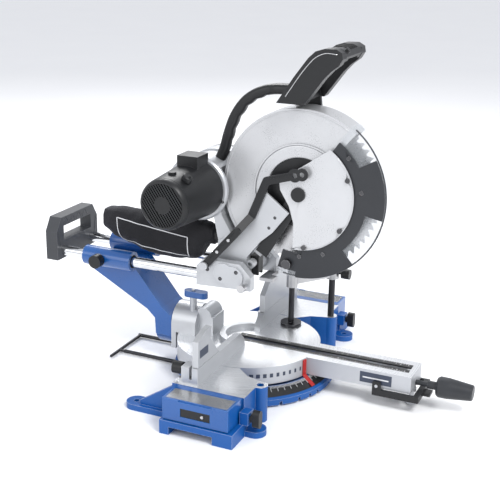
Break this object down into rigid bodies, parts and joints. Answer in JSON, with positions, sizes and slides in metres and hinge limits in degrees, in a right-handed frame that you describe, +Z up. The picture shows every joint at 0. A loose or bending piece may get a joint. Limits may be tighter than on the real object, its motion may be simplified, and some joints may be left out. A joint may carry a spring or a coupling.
{
  "type": "sliding compound mitre saw",
  "caption": "Sliding compound mitre saw: blade and motor head on two rails over a turntable, with fences, wings, guard, handles, dust bag and hold-down clamp",
  "frame": {"origin": "on the bench plane, directly under the turntable's pivot, at the centre of the four bench bolt holes", "axes": "+X is the operator's right along the fence, +Y points away from the operator along the mitre arm at 0 degrees, +Z is up"},
  "size_m": [0.64, 0.906, 0.6825],
  "materials": {
    "blue_enamel": "gloss",
    "grey_enamel": "satin",
    "cast_aluminium": "machined",
    "steel": "brushed",
    "chrome_rail": "polished",
    "black_plastic": "textured",
    "grey_plastic": "textured",
    "clear_plastic": "clear",
    "red_plastic": "gloss",
    "rubber_black": "matte",
    "bag_cloth": "woven",
    "copper_iron": "varnished"
  },
  "bodies": {
    "base": {"base_casting": "blue_enamel", "mitre_scale": "grey_plastic", "lower_fence": "grey_enamel", "clamp_post": "steel"},
    "rear_stand": {"rear_support": "steel"},
    "left_extension": {"left_wing": "blue_enamel"},
    "right_extension": {"right_wing": "blue_enamel"},
    "left_extension_lock": {"left_wing_knob": "black_plastic"},
    "right_extension_lock": {"right_wing_knob": "black_plastic"},
    "left_fence": {"left_upper_fence": "grey_enamel"},
    "right_fence": {"right_upper_fence": "grey_enamel"},
    "left_fence_lock": {"left_fence_knob": "black_plastic"},
    "right_fence_lock": {"right_fence_knob": "black_plastic"},
    "clamp": {"clamp_arm": "grey_enamel"},
    "clamp_screw": {"clamp_spindle": "steel"},
    "clamp_lock": {"clamp_knob": "black_plastic"},
    "table": {"turntable": "cast_aluminium", "kerf_plates": "grey_plastic", "mitre_pointer": "red_plastic", "bevel_trunnion": "grey_enamel"},
    "mitre_lock": {"mitre_lock_grip": "black_plastic"},
    "detent": {"detent_lever": "black_plastic"},
    "bevel_lock": {"bevel_lock_lever": "blue_enamel"},
    "tilting_arm": {"bevel_arm": "blue_enamel", "rail_bushes": "black_plastic"},
    "rail_lock": {"rail_lock_knob": "black_plastic"},
    "slide": {"rails": "chrome_rail", "rear_grip": "black_plastic", "carriage": "grey_enamel", "carriage_cover": "black_plastic"},
    "stop_plate": {"depth_stop_plate": "steel"},
    "head_lock": {"head_lock_pin": "steel"},
    "head": {"head_arm": "grey_enamel", "belt_housing": "grey_enamel", "belt_cover": "black_plastic", "upper_guard": "cast_aluminium", "drive_belt": "rubber_black", "bearings": "steel", "motor_stator": "copper_iron", "motor_housing": "black_plastic", "motor_end_cap": "black_plastic", "brush_caps": "black_plastic", "guard_bracket": "steel", "operating_handle": "black_plastic", "carry_handle": "black_plastic", "dust_chute": "black_plastic", "dust_bag": "bag_cloth", "lamp_housing": "black_plastic"},
    "blade_spindle": {"blade": "steel", "blade_flanges": "steel", "arbor_shaft": "steel"},
    "rotor": {"motor_rotor": "copper_iron"},
    "lower_guard": {"guard_shell": "clear_plastic", "guard_band": "grey_plastic", "guard_disc": "grey_enamel", "guard_fasteners": "steel"},
    "link": {"guard_link": "black_plastic"},
    "switch": {"trigger": "grey_plastic"},
    "lock_off": {"lock_off_button": "red_plastic"},
    "spindle_lock": {"spindle_lock_button": "black_plastic"}
  },
  "joints": [
    {"name": "rear_support_slide", "type": "slide", "parent": "base", "child": "rear_stand", "axis": [0, 1, 0], "range_m": [-0.06, 0]},
    {"name": "left_wing_slide", "type": "slide", "parent": "base", "child": "left_extension", "axis": [-1, 0, 0], "range_m": [0, 0.06]},
    {"name": "right_wing_slide", "type": "slide", "parent": "base", "child": "right_extension", "axis": [1, 0, 0], "range_m": [0, 0.06]},
    {"name": "left_wing_lock", "type": "hinge", "parent": "base", "child": "left_extension_lock", "pos_m": [-0.263, -0.124, 0.04], "axis": [0, 1, 0], "range_deg": [0, 180]},
    {"name": "right_wing_lock", "type": "hinge", "parent": "base", "child": "right_extension_lock", "pos_m": [0.263, -0.124, 0.04], "axis": [0, 1, 0], "range_deg": [0, 180]},
    {"name": "left_fence_slide", "type": "slide", "parent": "base", "child": "left_fence", "axis": [-1, 0, 0], "range_m": [0, 0.06]},
    {"name": "right_fence_slide", "type": "slide", "parent": "base", "child": "right_fence", "axis": [1, 0, 0], "range_m": [0, 0.06]},
    {"name": "left_fence_lock_turn", "type": "hinge", "parent": "base", "child": "left_fence_lock", "pos_m": [-0.236, 0.03, 0.096], "axis": [0, 1, 0], "range_deg": [0, 180]},
    {"name": "right_fence_lock_turn", "type": "hinge", "parent": "base", "child": "right_fence_lock", "pos_m": [0.236, 0.03, 0.096], "axis": [0, 1, 0], "range_deg": [0, 180]},
    {"name": "clamp_swing", "type": "hinge", "parent": "base", "child": "clamp", "pos_m": [0.192, -0.11, 0.17], "axis": [0, 0, 1], "range_deg": [0, 60]},
    {"name": "clamp_screw_turn", "type": "hinge", "parent": "clamp", "child": "clamp_screw", "pos_m": [0.108, -0.05, 0.17], "axis": [0, 0, 1], "continuous": true},
    {"name": "clamp_lock_turn", "type": "hinge", "parent": "clamp", "child": "clamp_lock", "pos_m": [0.192, -0.13, 0.173], "axis": [0, 1, 0], "range_deg": [0, 180]},
    {"name": "mitre_turn", "type": "hinge", "parent": "base", "child": "table", "pos_m": [0, 0, 0.072], "axis": [0, 0, -1], "range_deg": [-45, 45]},
    {"name": "mitre_lock_turn", "type": "hinge", "parent": "table", "child": "mitre_lock", "pos_m": [0, -0.43, 0.047], "axis": [0, 1, 0], "range_deg": [0, 120]},
    {"name": "detent_press", "type": "hinge", "parent": "table", "child": "detent", "pos_m": [0, -0.29, 0.044], "axis": [1, 0, 0], "range_deg": [0, 6], "stiffness_Nm_per_rad": 4, "springref_deg": -5.73},
    {"name": "bevel_lock_turn", "type": "hinge", "parent": "table", "child": "bevel_lock", "pos_m": [-0.02, 0.118, 0.15], "axis": [0, 0, 1], "range_deg": [0, 60]},
    {"name": "bevel_tilt", "type": "hinge", "parent": "table", "child": "tilting_arm", "pos_m": [0, 0.17, 0.072], "axis": [0, -1, 0], "range_deg": [0, 45]},
    {"name": "rail_lock_turn", "type": "hinge", "parent": "tilting_arm", "child": "rail_lock", "pos_m": [-0.085, 0.31, 0.217], "axis": [1, 0, 0], "range_deg": [0, 180]},
    {"name": "rail_slide", "type": "slide", "parent": "tilting_arm", "child": "slide", "axis": [0, 1, 0], "range_m": [-0.056, 0.154]},
    {"name": "depth_stop_swing", "type": "hinge", "parent": "slide", "child": "stop_plate", "pos_m": [0.064, -0.024, 0.2], "axis": [0, 0, 1], "range_deg": [0, 75]},
    {"name": "head_lock_slide", "type": "slide", "parent": "slide", "child": "head_lock", "axis": [1, 0, 0], "range_m": [0, 0.01]},
    {"name": "head_chop", "type": "hinge", "parent": "slide", "child": "head", "pos_m": [0, 0.009, 0.228], "axis": [1, 0, 0], "range_deg": [0, 57], "stiffness_Nm_per_rad": 14, "springref_deg": -126.05},
    {"name": "blade_spin", "type": "hinge", "parent": "head", "child": "blade_spindle", "pos_m": [0, -0.114, 0.402], "axis": [1, 0, 0], "continuous": true},
    {"name": "rotor_spin", "type": "hinge", "parent": "head", "child": "rotor", "pos_m": [0, 0.097, 0.39], "axis": [1, 0, 0], "continuous": true},
    {"name": "lower_guard_turn", "type": "hinge", "parent": "head", "child": "lower_guard", "pos_m": [0, -0.114, 0.402], "axis": [1, 0, 0], "range_deg": [-132.1, 0]},
    {"name": "guard_link_turn", "type": "hinge", "parent": "slide", "child": "link", "pos_m": [0, 0.062, 0.246], "axis": [1, 0, 0], "range_deg": [0, 53.1]},
    {"name": "trigger_pull", "type": "slide", "parent": "head", "child": "switch", "axis": [0, -0.7821, 0.6231], "range_m": [0, 0.006], "stiffness_N_per_m": 900, "springref_m": -0.004},
    {"name": "lock_off_press", "type": "slide", "parent": "head", "child": "lock_off", "axis": [0, 0.7821, -0.6231], "range_m": [0, 0.003], "stiffness_N_per_m": 900, "springref_m": -0.003},
    {"name": "spindle_lock_press", "type": "slide", "parent": "head", "child": "spindle_lock", "axis": [-1, 0, 0], "range_m": [0, 0.004], "stiffness_N_per_m": 900, "springref_m": -0.003}
  ],
  "couplings": [
    {"joint": "lower_guard_turn", "follows": "head_chop", "ratio": -2.3158},
    {"joint": "guard_link_turn", "follows": "head_chop", "ratio": 0.93},
    {"joint": "rotor_spin", "follows": "blade_spin", "ratio": 1.25}
  ]
}
